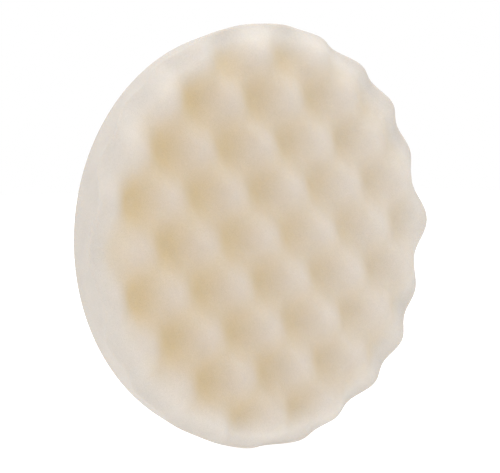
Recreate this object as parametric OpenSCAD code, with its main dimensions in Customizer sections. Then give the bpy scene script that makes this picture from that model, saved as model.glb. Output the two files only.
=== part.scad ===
// Single-sided waffle foam polishing pad with a hook-and-loop back.
// The pad stands upright: its axis runs along Y, the waffle face looks towards -Y,
// and the tips of the loops lie on the plane y = 0, centred on the origin.

/* [Foam] */
// Diameter of the foam at its working face
face_d = 203; // [140:1:240]
// Thickness of the foam from its bonded back to the tops of the ridges
foam_t = 28; // [23:0.5:45]
// How far the side wall leans in from the face to the bonded back
wall_taper = 2.6; // [0:0.2:5]
// Width of the soft shoulder between the face and the side wall
shoulder_w = 14; // [2:0.5:20]
// How far the face falls away over the shoulder
shoulder_h = 5; // [2:0.5:8]

/* [Waffle] */
// Height from the floor of a dimple to the top of a ridge
relief = 9; // [2:0.5:12]
// Distance between neighbouring dimples in one row
cell_w = 36; // [24:1:60]
// Distance between rows of dimples that line up; a staggered row lies halfway between
cell_h = 43; // [24:1:60]
// Place of one dimple from the pad's axis, along the rows
dimple_x = 11.3; // [-30:0.1:30]
// Place of the same dimple from the pad's axis, across the rows
dimple_y = 1; // [-30:0.1:30]
// Turn of the rows about the pad's axis, in degrees
row_turn = 3; // [-45:1:45]
// How much higher the ridges join along one diagonal than along the other, in the middle of the face
ridge_slant = 0.4; // [-0.5:0.05:0.5]

/* [Backing] */
// Thickness of the adhesive film that bonds the loop fabric to the foam
film_t = 0.3; // [0.2:0.1:1]
// Thickness of the knitted ground that carries the loops
knit_t = 0.5; // [0.3:0.1:1.5]
// Height of the loops that stand on the knitted ground
pile_t = 1.2; // [0.5:0.1:3]
// How far the film and the loop fabric stop short of the foam's back edge
backing_inset = 1; // [0.5:0.5:6]
// How far the loops stop short of the cut edge of their knitted ground
pile_inset = 0.4; // [0.2:0.1:2]

/* [Hidden] */

// round faces of the thin backing layers
$fn = 180;

// places along the pad's axis, measured from the loop tips
knit_z = pile_t;
film_z = knit_z + knit_t;
foam_z = film_z + film_t;
ridge_z = foam_z + foam_t;

face_r = face_d / 2;
foam_back_r = face_r - wall_taper;
backing_r = foam_back_r - backing_inset;
pile_r = backing_r - pile_inset;

// The face is a net of rings about the axis: ring k has 6k points, so the points stay evenly spread.
flat_rings = 27;
shoulder_rings = 7;
rings = flat_rings + shoulder_rings;
flat_r = face_r - shoulder_w;

// Angle reached round the shoulder's quarter ellipse at ring k
function arc(k) = 90 * max(0, k - flat_rings) / shoulder_rings;
function ring_r(k) = flat_r * min(k, flat_rings) / flat_rings + shoulder_w * sin(arc(k));
function ring_drop(k) = shoulder_h * (1 - cos(arc(k)));

// Waffle height at a place on the face: dimples lie where both waves crest or both trough
function along(x, y) = cos(row_turn) * x + sin(row_turn) * y - dimple_x;
function across(x, y) = cos(row_turn) * y - sin(row_turn) * x - dimple_y;
// The slant fades out between half the radius and the rim
function slant(x, y) = ridge_slant * min(1, max(0, 2 - 2 * norm([x, y]) / face_r));
function wave(x, y) =
    let (u = 360 * along(x, y) / cell_w, v = 360 * across(x, y) / cell_h)
    cos(u) * cos(v) - slant(x, y) * sin(u) * sin(v);
function waffle_z(x, y) = ridge_z - relief * (1 + wave(x, y)) / 2;

// Points of the net, from the middle outwards, then the edge of the bonded back
function face_point(k, j) =
    let (a = k == 0 ? 0 : 60 * j / k, x = ring_r(k) * cos(a), y = ring_r(k) * sin(a))
    [x, y, waffle_z(x, y) - ring_drop(k)];
function back_point(j) = let (a = 60 * j / rings) [foam_back_r * cos(a), foam_back_r * sin(a), foam_z];
function ring_start(k) = k == 0 ? 0 : 1 + 3 * k * (k - 1);
function at(k, j) = ring_start(k) + (k == 0 ? 0 : j % (6 * k));

rim_count = 6 * rings;
back_start = ring_start(rings + 1);
function back_at(j) = back_start + j % rim_count;

net_points = [
    for (k = [0 : rings], j = [0 : max(1, 6 * k) - 1]) face_point(k, j),
    for (j = [0 : rim_count - 1]) back_point(j)
];

// Six sectors s; in each, ring k adds k outward and k - 1 inward triangles
face_triangles = [
    for (k = [1 : rings], s = [0 : 5], j = [0 : k - 1])
        [at(k - 1, s * (k - 1) + j), at(k, s * k + j + 1), at(k, s * k + j)],
    for (k = [2 : rings], s = [0 : 5], j = [0 : k - 2])
        [at(k - 1, s * (k - 1) + j), at(k - 1, s * (k - 1) + j + 1), at(k, s * k + j + 1)]
];
wall_triangles = [
    for (j = [0 : rim_count - 1]) each [
        [at(rings, j), at(rings, j + 1), back_at(j)],
        [at(rings, j + 1), back_at(j + 1), back_at(j)]
    ]
];
back_face = [[for (j = [0 : rim_count - 1]) back_at(j)]];

// Stands a shape built up the Z axis on the pad's own axis, face towards -Y
module upright() {
    rotate([90, 0, 0])
        children();
}

// A thin round layer of the backing
module layer(z, r, t) {
    upright()
        translate([0, 0, z])
            cylinder(h = t, r = r);
}

// One piece of open-cell foam, waffle-cut on its face and flat on its back
module foam_pad() {
    color([0.90, 0.85, 0.77])
        upright()
            polyhedron(points = net_points, faces = concat(face_triangles, wall_triangles, back_face));
}

// Film that bonds the loop fabric to the foam's flat back
module adhesive_film() {
    color([0.80, 0.76, 0.66])
        layer(film_z, backing_r, film_t);
}

// Knitted ground of the loop fabric
module loop_knit() {
    color([0.86, 0.85, 0.82])
        layer(knit_z, backing_r, knit_t);
}

// Standing loops that the hooks of a backing plate grip, as one solid of their outer shape
module loop_pile() {
    color([0.91, 0.90, 0.88])
        layer(0, pile_r, pile_t);
}

foam_pad();
adhesive_film();
loop_knit();
loop_pile();
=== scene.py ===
import math

import bpy
import numpy as np
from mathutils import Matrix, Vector, noise


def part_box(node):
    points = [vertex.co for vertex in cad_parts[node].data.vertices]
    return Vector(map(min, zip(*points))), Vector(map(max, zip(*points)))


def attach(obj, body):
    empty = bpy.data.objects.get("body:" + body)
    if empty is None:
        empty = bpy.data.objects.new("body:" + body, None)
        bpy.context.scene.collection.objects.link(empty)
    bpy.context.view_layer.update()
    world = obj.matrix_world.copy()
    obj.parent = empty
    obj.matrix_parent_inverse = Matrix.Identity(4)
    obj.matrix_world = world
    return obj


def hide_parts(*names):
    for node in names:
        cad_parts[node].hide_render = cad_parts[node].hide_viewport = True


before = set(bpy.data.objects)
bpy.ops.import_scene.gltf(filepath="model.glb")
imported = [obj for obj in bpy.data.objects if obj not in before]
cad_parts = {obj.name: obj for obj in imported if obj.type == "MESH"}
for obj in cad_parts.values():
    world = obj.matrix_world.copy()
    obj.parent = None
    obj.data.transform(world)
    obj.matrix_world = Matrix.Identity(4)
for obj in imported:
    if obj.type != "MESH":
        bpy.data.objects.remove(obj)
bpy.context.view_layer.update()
MM = 0.001

# ---------------------------------------------------------------------------
# Camera. It looks at the waffle face from the left, almost level with the
# pad's axis, close enough for the near rim to look larger than the far one.
# ---------------------------------------------------------------------------
view_azimuth = math.radians(-38.64)
view_elevation = math.radians(3.2)
view_distance = 698.6 * MM
view_aim = Vector((2.4, -1.9, -0.8)) * MM
towards_camera = Vector((
    math.sin(view_azimuth) * math.cos(view_elevation),
    -math.cos(view_azimuth) * math.cos(view_elevation),
    math.sin(view_elevation),
))

camera_data = bpy.data.cameras.new("camera")
camera_data.lens = 102.4
camera_data.sensor_width = 36.0
camera_data.clip_start = 0.01
camera = bpy.data.objects.new("camera", camera_data)
camera.location = view_aim + towards_camera * view_distance
camera.rotation_euler = (-towards_camera).to_track_quat("-Z", "Y").to_euler()
bpy.context.scene.collection.objects.link(camera)
bpy.context.scene.camera = camera

# ---------------------------------------------------------------------------
# Foam. One piece of cream open-cell polyurethane foam, squeezed between pegged
# rollers and split so that its face springs back into staggered dimples, then
# cut round with a rounded shoulder. Its flat back is bonded to the loop fabric.
# ---------------------------------------------------------------------------
foam_low, foam_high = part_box("foam_pad")
face_r = (foam_high.x - foam_low.x) / 2
ridge_y = foam_low.y
foam_back_y = foam_high.y
wall_taper = 2.6 * MM
shoulder_w = 14 * MM
shoulder_h = 5 * MM
back_round = 0.8 * MM

relief = 9 * MM
cell_w = 36 * MM
cell_h = 43 * MM
dimple_x = 11.3 * MM
dimple_z = 1 * MM
row_turn = math.radians(3)
ridge_slant = 0.4


def waffle_depth(x, z, slant):
    """Share of the relief by which the face lies below its ridge tops: 0 on a ridge, 1 in a dimple."""
    along = np.cos(row_turn) * x + np.sin(row_turn) * z - dimple_x
    across = np.cos(row_turn) * z - np.sin(row_turn) * x - dimple_z
    u, v = 2 * np.pi * along / cell_w, 2 * np.pi * across / cell_h
    slant = slant * np.clip(2 - 2 * np.hypot(x, z) / face_r, 0, 1)
    return (1 + np.cos(u) * np.cos(v) - slant * np.sin(u) * np.sin(v)) / 2


def net_faces(rings):
    """Triangles of a round net whose ring k has 6k points, so that its points are spread evenly."""
    faces = []
    for k in range(1, rings + 1):
        inner = 0 if k == 1 else 1 + 3 * (k - 1) * (k - 2)
        outer = 1 + 3 * k * (k - 1)
        inner_count = max(1, 6 * (k - 1))
        for s in range(6):
            for j in range(k):
                a = inner + (s * (k - 1) + j) % inner_count
                b = outer + s * k + j
                c = outer + (s * k + j + 1) % (6 * k)
                faces.append((a, b, c))
                if j < k - 1:
                    d = inner + (s * (k - 1) + j + 1) % inner_count
                    faces.append((a, c, d))
    return faces


def ring_angles(count):
    return np.arange(count) * 2 * np.pi / count


def soft_noise(points, size, seed):
    """Smooth noise from -1 to 1 at each point, with lumps of about that size."""
    shift = Vector((seed * 7.3, seed * 3.1, seed * 5.7))
    return np.array([noise.noise(Vector(p) / size + shift) for p in points])


# The face: flat rings, then rings round the shoulder's arc, all lowered by the waffle
flat_rings = 104
shoulder_rings = 26
rings = flat_rings + shoulder_rings
rim_count = 6 * rings
flat_r = face_r - shoulder_w
face_points = [np.zeros((1, 3))]
for k in range(1, rings + 1):
    arc = math.pi / 2 * max(0, k - flat_rings) / shoulder_rings
    r = flat_r * min(k, flat_rings) / flat_rings + shoulder_w * math.sin(arc)
    a = ring_angles(6 * k)
    drop = np.full(6 * k, shoulder_h * (1 - math.cos(arc)))
    face_points.append(np.column_stack([r * np.cos(a), drop, r * np.sin(a)]))
face_points = np.concatenate(face_points)
depth = waffle_depth(face_points[:, 0], face_points[:, 2], ridge_slant)
face_points[:, 1] += ridge_y + relief * depth
rim = face_points[-rim_count:]

# The side wall and the flat back, in rows of as many points as the rim has
wall_rows = 26
back_corner_rows = 4
a = ring_angles(rim_count)
rows = []
wall_end_y = foam_back_y - back_round
back_r = face_r - wall_taper
for i in range(1, wall_rows + 1):
    t = i / wall_rows
    y = rim[:, 1] + (wall_end_y - rim[:, 1]) * t
    r = face_r + (back_r - face_r) * t
    rows.append(np.column_stack([r * np.cos(a), y, r * np.sin(a)]))
for i in range(1, back_corner_rows + 1):
    turn = math.pi / 2 * i / back_corner_rows
    r = back_r - back_round * (1 - math.cos(turn))
    y = np.full(rim_count, wall_end_y + back_round * math.sin(turn))
    rows.append(np.column_stack([r * np.cos(a), y, r * np.sin(a)]))
r = back_r - 4 * MM
rows.append(np.column_stack([r * np.cos(a), np.full(rim_count, foam_back_y), r * np.sin(a)]))

foam_points = np.concatenate([face_points, *rows, [[0, foam_back_y, 0]]])
foam_faces = net_faces(rings)
first = len(face_points) - rim_count
for row in range(len(rows)):
    for j in range(rim_count):
        n = (j + 1) % rim_count
        top, low = first + row * rim_count, first + (row + 1) * rim_count
        foam_faces.append((top + j, low + j, low + n, top + n))
last = first + len(rows) * rim_count
for j in range(rim_count):
    foam_faces.append((last + j, len(foam_points) - 1, last + (j + 1) % rim_count))

# Foam springs back a little unevenly, so no two dimples are quite alike. The lumps are large and
# small, the grain is the roughness of the cut, and both fade out towards the bonded back.
lump_size, lump_height = 24 * MM, 0.45 * MM
dent_size, dent_height = 5 * MM, 0.12 * MM
grain_size, grain_height = 1.6 * MM, 0.05 * MM
fade_to_back = 6 * MM
fade_to_rim = 8 * MM
centre = np.array([0, (ridge_y + foam_back_y) / 2, 0])
away = foam_points - centre
away /= np.linalg.norm(away, axis=1)[:, None]
from_back = np.clip((foam_back_y - foam_points[:, 1]) / fade_to_back, 0, 1)
inside = np.clip((face_r - np.hypot(foam_points[:, 0], foam_points[:, 2])) / fade_to_rim, 0.25, 1)
lumps = lump_height * soft_noise(foam_points, lump_size, 1)
lumps += dent_height * soft_noise(foam_points, dent_size, 2)
grain = grain_height * soft_noise(foam_points, grain_size, 3)
lift = (lumps * inside + grain) * from_back
on_face = np.arange(len(foam_points)) < len(face_points)
foam_points[:, 1] -= lift * on_face
foam_points += away * (grain * from_back * ~on_face)[:, None]

foam_mesh = bpy.data.meshes.new("foam")
foam_mesh.from_pydata(foam_points.tolist(), [], foam_faces)
foam_mesh.polygons.foreach_set("use_smooth", np.ones(len(foam_mesh.polygons), bool))
# The foam's tones are mostly painted light and shade: painted shade, darker and yellower, low in its
# dimples; a painted sheen that whitens it towards +X; painted light, paler and more neutral, round the
# shoulder and most of all in the shoulder's own dimples; painted light palest at the top and bottom of
# the rim; and on the wall a less yellow tone darkened with painted shade
painted_shade_shift = 2 * MM
shoulder_band, shoulder_blend = 20 * MM, 14 * MM
painted_shade_clear, painted_shade_blend = 2 * MM, 16 * MM
side_band = 7 * MM
reach = np.hypot(foam_points[:, 0], foam_points[:, 2])
across = foam_points[:, 0] / face_r
# Dimple depth moved 2 mm towards -X, to the side of each dimple that the light reaches least; it places
# the painted shade.
low = waffle_depth(foam_points[:, 0] + painted_shade_shift, foam_points[:, 2], 0.1)
from_rim = np.clip((face_r - painted_shade_clear - reach) / painted_shade_blend, 0, 1)
from_rim *= from_rim * (3 - 2 * from_rim)
# Painted shade: darker and yellower low in each dimple, fading out near the rim, and stronger towards
# -X than towards +X.
painted_dimple_shade = np.where(on_face, low * from_rim * (0.8 - 0.45 * across), 0)
to_rim = np.clip((reach - face_r + shoulder_band) / shoulder_blend, 0, 1)
# Painted sheen: the foam whiter towards +X.
painted_sheen_plus_x = np.clip(0.2 + 0.5 * across, 0, 1)
# Painted light: the shoulder paler and more neutral, most of all in its dimples, against the shade
# there.
shoulder = to_rim * (0.6 + 0.4 * low)
# Painted light: the rim palest at its top and bottom.
painted_light_rim_ends = 0.8 * to_rim * (foam_points[:, 2] / face_r) ** 4
# The wall: a less yellow tone, its own colour, darkened with painted shade against the side light.
side = np.clip((reach - face_r + side_band) / side_band, 0, 1)
side[~on_face] = 1
tones = {"painted_sheen_plus_x": painted_sheen_plus_x, "shoulder": shoulder, "side": side, "painted_light_rim_ends": painted_light_rim_ends, "painted_dimple_shade": painted_dimple_shade}
for name, values in tones.items():
    layer = foam_mesh.attributes.new(name, "FLOAT", "POINT")
    layer.data.foreach_set("value", values.astype(np.float32))
foam = bpy.data.objects.new("foam", foam_mesh)
bpy.context.scene.collection.objects.link(foam)


def new_material(name, rough, specular):
    """An empty material with a Principled shader, its node list and its links."""
    made = bpy.data.materials.new(name)
    made.use_nodes = True
    shader = made.node_tree.nodes["Principled BSDF"]
    shader.inputs["Roughness"].default_value = rough
    shader.inputs["Specular IOR Level"].default_value = specular
    return made, shader, made.node_tree.nodes, made.node_tree.links


foam_finish, shader, nodes, links = new_material("cream_open_cell_foam", 0.95, 0.04)
place = nodes.new("ShaderNodeTexCoord")


def fine_mottle():
    """Group that breaks up a colour with cloudy noise, as dye and glue do.

    It also gives that noise as a height.
    """
    group = bpy.data.node_groups.new("fine_mottle", "ShaderNodeTree")
    for name, kind, start in (
        ("Colour", "NodeSocketColor", (0.8, 0.8, 0.8, 1)),
        ("Lumps per metre", "NodeSocketFloat", 200),
        ("Darkest", "NodeSocketFloat", 0.9),
    ):
        socket = group.interface.new_socket(name, in_out="INPUT", socket_type=kind)
        socket.default_value = start
    group.interface.new_socket("Colour", in_out="OUTPUT", socket_type="NodeSocketColor")
    group.interface.new_socket("Height", in_out="OUTPUT", socket_type="NodeSocketFloat")
    given = group.nodes.new("NodeGroupInput")
    result = group.nodes.new("NodeGroupOutput")
    place = group.nodes.new("ShaderNodeTexCoord")
    clouds = group.nodes.new("ShaderNodeTexNoise")
    clouds.inputs["Detail"].default_value = 3
    group.links.new(place.outputs["Object"], clouds.inputs["Vector"])
    group.links.new(given.outputs["Lumps per metre"], clouds.inputs["Scale"])
    darken = group.nodes.new("ShaderNodeMapRange")
    darken.inputs["From Min"].default_value = 0.3
    darken.inputs["From Max"].default_value = 0.7
    darken.inputs["To Max"].default_value = 1.0
    group.links.new(clouds.outputs["Fac"], darken.inputs["Value"])
    group.links.new(given.outputs["Darkest"], darken.inputs["To Min"])
    tinted = group.nodes.new("ShaderNodeMix")
    tinted.data_type = "RGBA"
    tinted.blend_type = "MULTIPLY"
    tinted.inputs["Factor"].default_value = 1.0
    group.links.new(given.outputs["Colour"], tinted.inputs["A"])
    group.links.new(darken.outputs["Result"], tinted.inputs["B"])
    group.links.new(tinted.outputs["Result"], result.inputs["Colour"])
    group.links.new(clouds.outputs["Fac"], result.inputs["Height"])
    return group


mottle_group = fine_mottle()


def add_mottle(nodes, lumps_per_metre, darkest):
    """Places the mottle group in a material's node list."""
    mottle = nodes.new("ShaderNodeGroup")
    mottle.node_tree = mottle_group
    mottle.inputs["Lumps per metre"].default_value = lumps_per_metre
    mottle.inputs["Darkest"].default_value = darkest
    return mottle


def tint_over(under, attribute, colour):
    """Mixes a colour over a first colour or an earlier mix, by one of the foam's own attributes."""
    share = nodes.new("ShaderNodeAttribute")
    share.attribute_name = attribute
    mix = nodes.new("ShaderNodeMix")
    mix.data_type = "RGBA"
    mix.inputs["B"].default_value = (*colour, 1)
    links.new(share.outputs["Fac"], mix.inputs["Factor"])
    if isinstance(under, tuple):
        mix.inputs["A"].default_value = (*under, 1)
    else:
        links.new(under, mix.inputs["A"])
    return mix.outputs["Result"]


cream = (0.517, 0.45, 0.378)
pore_size = 0.5 * MM
# Over the cream: painted sheen, painted light on the shoulder and the rim's top and bottom, the wall's
# tone with painted shade, and painted shade in the dimples.
tint = tint_over(cream, "painted_sheen_plus_x", (0.57, 0.532, 0.49))
tint = tint_over(tint, "shoulder", (0.55, 0.515, 0.475))
tint = tint_over(tint, "painted_light_rim_ends", (0.65, 0.61, 0.565))
tint = tint_over(tint, "side", (0.5, 0.462, 0.42))
tint = tint_over(tint, "painted_dimple_shade", (0.535, 0.428, 0.275))
cells = nodes.new("ShaderNodeTexVoronoi")
cells.feature = "DISTANCE_TO_EDGE"
cells.inputs["Scale"].default_value = 1 / pore_size
links.new(place.outputs["Object"], cells.inputs["Vector"])
pore = nodes.new("ShaderNodeMapRange")
pore.inputs["From Min"].default_value = 0.05
pore.inputs["From Max"].default_value = 0.35
pore.inputs["To Min"].default_value = 1.0
pore.inputs["To Max"].default_value = 0.86
links.new(cells.outputs["Distance"], pore.inputs["Value"])
shade = nodes.new("ShaderNodeMix")
shade.data_type = "RGBA"
shade.blend_type = "MULTIPLY"
shade.inputs["Factor"].default_value = 1.0
mottle = add_mottle(nodes, 110, 0.96)
links.new(tint, mottle.inputs["Colour"])
links.new(mottle.outputs["Colour"], shade.inputs["A"])
links.new(pore.outputs["Result"], shade.inputs["B"])
links.new(shade.outputs["Result"], shader.inputs["Base Color"])
bump = nodes.new("ShaderNodeBump")
bump.inputs["Strength"].default_value = 0.5
bump.inputs["Distance"].default_value = 0.16 * MM
links.new(pore.outputs["Result"], bump.inputs["Height"])
links.new(bump.outputs["Normal"], shader.inputs["Normal"])
shader.inputs["Subsurface Weight"].default_value = 0.3
shader.inputs["Subsurface Radius"].default_value = (1.0, 0.7, 0.4)
shader.inputs["Subsurface Scale"].default_value = 3 * MM
foam_mesh.materials.append(foam_finish)
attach(foam, "root")
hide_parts("foam_pad")

# ---------------------------------------------------------------------------
# Adhesive film. A thin sheet of yellowish hot-melt glue, pressed hot between
# foam and fabric, so that its edge has flowed out a little unevenly.
# ---------------------------------------------------------------------------
film_low, film_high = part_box("adhesive_film")
film_r = film_high.x
film_t = film_high.y - film_low.y
edge_flow, flow_size = 0.25 * MM, 5 * MM
bpy.ops.object.select_all(action="DESELECT")
bpy.ops.mesh.primitive_cylinder_add(
    vertices=360,
    radius=film_r,
    depth=film_t,
    location=(0, film_low.y + film_t / 2, 0),
    rotation=(math.pi / 2, 0, 0),
)
film = bpy.context.object
film.name = "film"
bpy.ops.object.transform_apply(location=True, rotation=True, scale=True)
bpy.ops.object.mode_set(mode="EDIT")
bpy.ops.mesh.select_all(action="DESELECT")
bpy.ops.mesh.select_mode(type="EDGE")
bpy.ops.object.mode_set(mode="OBJECT")
for edge in film.data.edges:
    start, end = (film.data.vertices[i].co for i in edge.vertices)
    edge.select = abs(start.y - end.y) < film_t / 2
bpy.ops.object.mode_set(mode="EDIT")
bpy.ops.mesh.bevel(offset=0.4 * film_t, segments=3)
bpy.ops.object.mode_set(mode="OBJECT")
for vertex in film.data.vertices:
    flow = edge_flow * noise.noise(Vector((vertex.co.x, 0, vertex.co.z)) / flow_size)
    vertex.co += Vector((vertex.co.x, 0, vertex.co.z)).normalized() * flow
bpy.ops.object.shade_smooth_by_angle(angle=math.radians(40))

film_finish, shader, nodes, links = new_material("hot_melt_film", 0.35, 0.5)
mottle = add_mottle(nodes, 400, 0.85)
mottle.inputs["Colour"].default_value = (0.56, 0.47, 0.31, 1)
links.new(mottle.outputs["Colour"], shader.inputs["Base Color"])
bump = nodes.new("ShaderNodeBump")
bump.inputs["Distance"].default_value = 0.1 * MM
links.new(mottle.outputs["Height"], bump.inputs["Height"])
links.new(bump.outputs["Normal"], shader.inputs["Normal"])
shader.inputs["Subsurface Weight"].default_value = 0.4
shader.inputs["Subsurface Scale"].default_value = 1 * MM
film.data.materials.append(film_finish)
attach(film, "root")
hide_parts("adhesive_film")

# ---------------------------------------------------------------------------
# Knitted ground. A round of warp-knitted off-white nylon, stamped out and laid
# on the film, so that its cut edge wanders a little.
# ---------------------------------------------------------------------------
knit_low, knit_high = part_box("loop_knit")
knit_r = knit_high.x
wale = 0.8 * MM
knit_rings = 60
knit_rim = 6 * knit_rings
surface_rise, rise_size = 0.05 * MM, 3 * MM
edge_wander, wander_size = 0.18 * MM, 2.2 * MM


def knit_layer(y, rise):
    """One side of the ground, as a round net of points at height y."""
    points = [np.zeros((1, 2))]
    for k in range(1, knit_rings + 1):
        a = ring_angles(6 * k)
        points.append(knit_r * k / knit_rings * np.column_stack([np.cos(a), np.sin(a)]))
    flat = np.concatenate(points)
    spots = np.column_stack([flat[:, 0], 0 * flat[:, 0], flat[:, 1]])
    heights = y + rise * soft_noise(spots, rise_size, 4)
    return np.column_stack([flat[:, 0], heights, flat[:, 1]])


back_side = knit_layer(knit_high.y - surface_rise, surface_rise)
bonded_side = knit_layer(knit_low.y, 0)
knit_points = np.concatenate([back_side, bonded_side])
edge_run = np.hypot(knit_points[:, 0], knit_points[:, 2])
at_edge = edge_run > knit_r * (1 - 0.5 / knit_rings)
wander = edge_wander * soft_noise(knit_points * [1, 0, 1], wander_size, 5)
knit_points[:, [0, 2]] *= (1 + np.where(at_edge, wander / knit_r, 0))[:, None]
count = len(back_side)
net = net_faces(knit_rings)
knit_faces = [(a, c, b) for a, b, c in net] + [(a + count, b + count, c + count) for a, b, c in net]
for j in range(knit_rim):
    n = (j + 1) % knit_rim
    edge = count - knit_rim
    knit_faces.append((edge + j, edge + n, count + edge + n, count + edge + j))
knit_mesh = bpy.data.meshes.new("knit")
knit_mesh.from_pydata(knit_points.tolist(), [], knit_faces)
knit = bpy.data.objects.new("knit", knit_mesh)
bpy.context.scene.collection.objects.link(knit)

knit_finish, shader, nodes, links = new_material("warp_knit_nylon", 0.75, 0.3)
place = nodes.new("ShaderNodeTexCoord")
rows_of_stitches = []
for turn in (35, -35):
    slant = nodes.new("ShaderNodeMapping")
    slant.inputs["Rotation"].default_value = (0, math.radians(turn), 0)
    links.new(place.outputs["Object"], slant.inputs["Vector"])
    yarns = nodes.new("ShaderNodeTexWave")
    yarns.inputs["Scale"].default_value = 2 * math.pi / (20 * wale)
    yarns.inputs["Distortion"].default_value = 0.6
    links.new(slant.outputs["Vector"], yarns.inputs["Vector"])
    rows_of_stitches.append(yarns.outputs["Fac"])
stitches = nodes.new("ShaderNodeMath")
stitches.operation = "MAXIMUM"
links.new(rows_of_stitches[0], stitches.inputs[0])
links.new(rows_of_stitches[1], stitches.inputs[1])
mottle = add_mottle(nodes, 600, 0.85)
mottle.inputs["Colour"].default_value = (0.78, 0.76, 0.71, 1)
between = nodes.new("ShaderNodeMapRange")
between.inputs["To Min"].default_value = 0.75
links.new(stitches.outputs["Value"], between.inputs["Value"])
shade = nodes.new("ShaderNodeMix")
shade.data_type = "RGBA"
shade.blend_type = "MULTIPLY"
shade.inputs["Factor"].default_value = 1.0
links.new(mottle.outputs["Colour"], shade.inputs["A"])
links.new(between.outputs["Result"], shade.inputs["B"])
links.new(shade.outputs["Result"], shader.inputs["Base Color"])
bump = nodes.new("ShaderNodeBump")
bump.inputs["Distance"].default_value = 0.2 * MM
links.new(stitches.outputs["Value"], bump.inputs["Height"])
links.new(bump.outputs["Normal"], shader.inputs["Normal"])
knit_mesh.materials.append(knit_finish)
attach(knit, "root")
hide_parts("loop_knit")

# ---------------------------------------------------------------------------
# Loops. Fine nylon yarn drawn up through the ground in rows, each a small bow
# with its feet in the knit, then brushed, so that they lean in soft patches.
# ---------------------------------------------------------------------------
pile_low, pile_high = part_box("loop_pile")
pile_r = pile_high.x
pile_t = pile_high.y - pile_low.y
loop_pitch = 1.5 * MM
yarn_r = 0.13 * MM
root_depth = 0.1 * MM
# Half of a loop's outline as shares of the pile: how far out, and how high
bow = [(0.18, 0), (0.45, 0.38), (0.38, 0.8), (0, 1)]
outline = [(-out, up) for out, up in bow] + [(out, up) for out, up in reversed(bow[:-1])]
yarn_sides = 4
foot_jitter = 0.3
edge_clear = 0.5 * MM
patch_size, patch_lean = 14 * MM, 0.9
turn_spread, lean_spread = 0.5, 0.16
shortest, tallest = 0.82, 0.97
draw = np.random.default_rng(11)

row_pitch = 0.87 * loop_pitch
columns = int(pile_r / loop_pitch) + 1
rows_of_loops = int(pile_r / row_pitch) + 1
feet = []
for j in range(-rows_of_loops, rows_of_loops + 1):
    for i in range(-columns, columns + 1):
        foot = np.array([(i + 0.5 * (j % 2)) * loop_pitch, j * row_pitch])
        foot += draw.uniform(-foot_jitter, foot_jitter, 2) * loop_pitch
        if np.hypot(*foot) < pile_r - edge_clear:
            feet.append(foot)
feet = np.array(feet)


def loop_points(foot):
    """Points of one loop's yarn: a ring of yarn_sides points round each point of its outline."""
    brushed = Vector((foot[0], 0, foot[1])) / patch_size
    turn = draw.normal(0, turn_spread)
    lean = np.array([noise.noise(brushed), noise.noise(brushed + Vector((9, 5, 2)))]) * patch_lean
    lean += draw.normal(0, lean_spread, 2)
    height = pile_t * draw.uniform(shortest, tallest)
    side = np.array([np.cos(turn), np.sin(turn)])
    rings = []
    for k, (out, up) in enumerate(outline):
        before, after = outline[max(0, k - 1)], outline[min(len(outline) - 1, k + 1)]
        run = np.array([after[0] - before[0], after[1] - before[1]])
        run /= np.hypot(*run)
        middle = foot + side * out * pile_t + lean * pile_t * 0.5 * up * up
        y = pile_low.y - root_depth + up * (height + root_depth)
        for n in range(yarn_sides):
            a = 2 * math.pi * n / yarn_sides
            flat_part = side * run[1] * math.cos(a) + np.array([-side[1], side[0]]) * math.sin(a)
            x, z = middle + flat_part * yarn_r
            rings.append((x, min(y - run[0] * math.cos(a) * yarn_r, pile_high.y), z))
    return rings


yarn_finish, shader, nodes, links = new_material("brushed_nylon_loops", 0.6, 0.35)
mottle = add_mottle(nodes, 90, 0.93)
mottle.inputs["Colour"].default_value = (0.885, 0.863, 0.818, 1)
links.new(mottle.outputs["Colour"], shader.inputs["Base Color"])
shader.inputs["Sheen Weight"].default_value = 0.15

per_loop = len(outline) * yarn_sides
loop_faces = []
for k in range(len(outline) - 1):
    for n in range(yarn_sides):
        a, b = k * yarn_sides + n, k * yarn_sides + (n + 1) % yarn_sides
        loop_faces.append((a, a + yarn_sides, b + yarn_sides, b))
loop_faces.append(tuple(range(yarn_sides)))
loop_faces.append(tuple(reversed(range(per_loop - yarn_sides, per_loop))))

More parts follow.
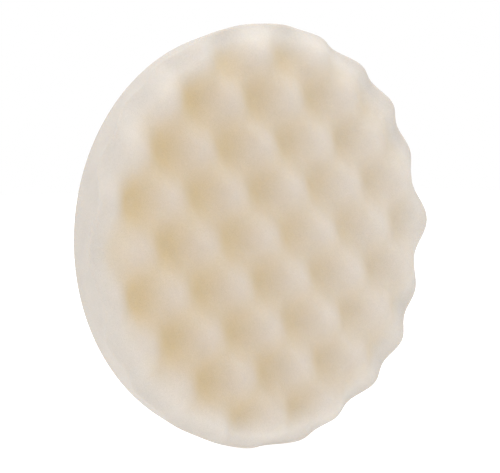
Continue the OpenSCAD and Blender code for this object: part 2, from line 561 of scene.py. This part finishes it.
batches = 5
for batch in range(batches):
    points, faces = [], []
    for foot in feet[batch * len(feet) // batches:(batch + 1) * len(feet) // batches]:
        faces += [tuple(i + len(points) for i in face) for face in loop_faces]
        points += loop_points(foot)
    mesh = bpy.data.meshes.new(f"loops_{batch + 1}")
    mesh.from_pydata(points, [], faces)
    mesh.polygons.foreach_set("use_smooth", np.ones(len(mesh.polygons), bool))
    mesh.materials.append(yarn_finish)
    loops = bpy.data.objects.new(f"loops_{batch + 1}", mesh)
    bpy.context.scene.collection.objects.link(loops)
    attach(loops, "root")
    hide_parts("loop_pile")

# ---------------------------------------------------------------------------
# Stage: a pale floor that the rim just touches, and soft studio light.
# ---------------------------------------------------------------------------
floor_size = 8.0
bpy.ops.object.select_all(action="DESELECT")
bpy.ops.mesh.primitive_plane_add(size=floor_size, location=(0, 0, -face_r))
floor = bpy.context.object
floor.name = "floor"
floor_finish, shader, nodes, links = new_material("pale_floor", 0.9, 0.0)
shader.inputs["Base Color"].default_value = (0.55, 0.55, 0.55, 1)
shader.inputs["Emission Color"].default_value = (1, 1, 1, 1)
shader.inputs["Emission Strength"].default_value = 0.8
floor.data.materials.append(floor_finish)

world = bpy.data.worlds.new("studio")
bpy.context.scene.world = world
world.use_nodes = True
backdrop = world.node_tree.nodes["Background"]
backdrop.inputs["Color"].default_value = (1, 1, 1, 1)
backdrop.inputs["Strength"].default_value = 1.0


def soft_light(name, place, size, power):
    """A square area light at place, turned towards the pad."""
    data = bpy.data.lights.new(name, "AREA")
    data.size = size
    data.energy = power
    lamp = bpy.data.objects.new(name, data)
    lamp.location = place
    lamp.rotation_euler = (-Vector(place)).to_track_quat("-Z", "Y").to_euler()
    bpy.context.scene.collection.objects.link(lamp)


soft_light("overhead_light", (0.0, -0.15, 1.4), 1.2, 9)
soft_light("upper_left_light", (-0.7, -0.5, 1.2), 1.0, 5)
soft_light("side_light", (-1.5, -1.1, 0.3), 1.4, 3.5)
bpy.context.scene.view_settings.view_transform = "Standard"
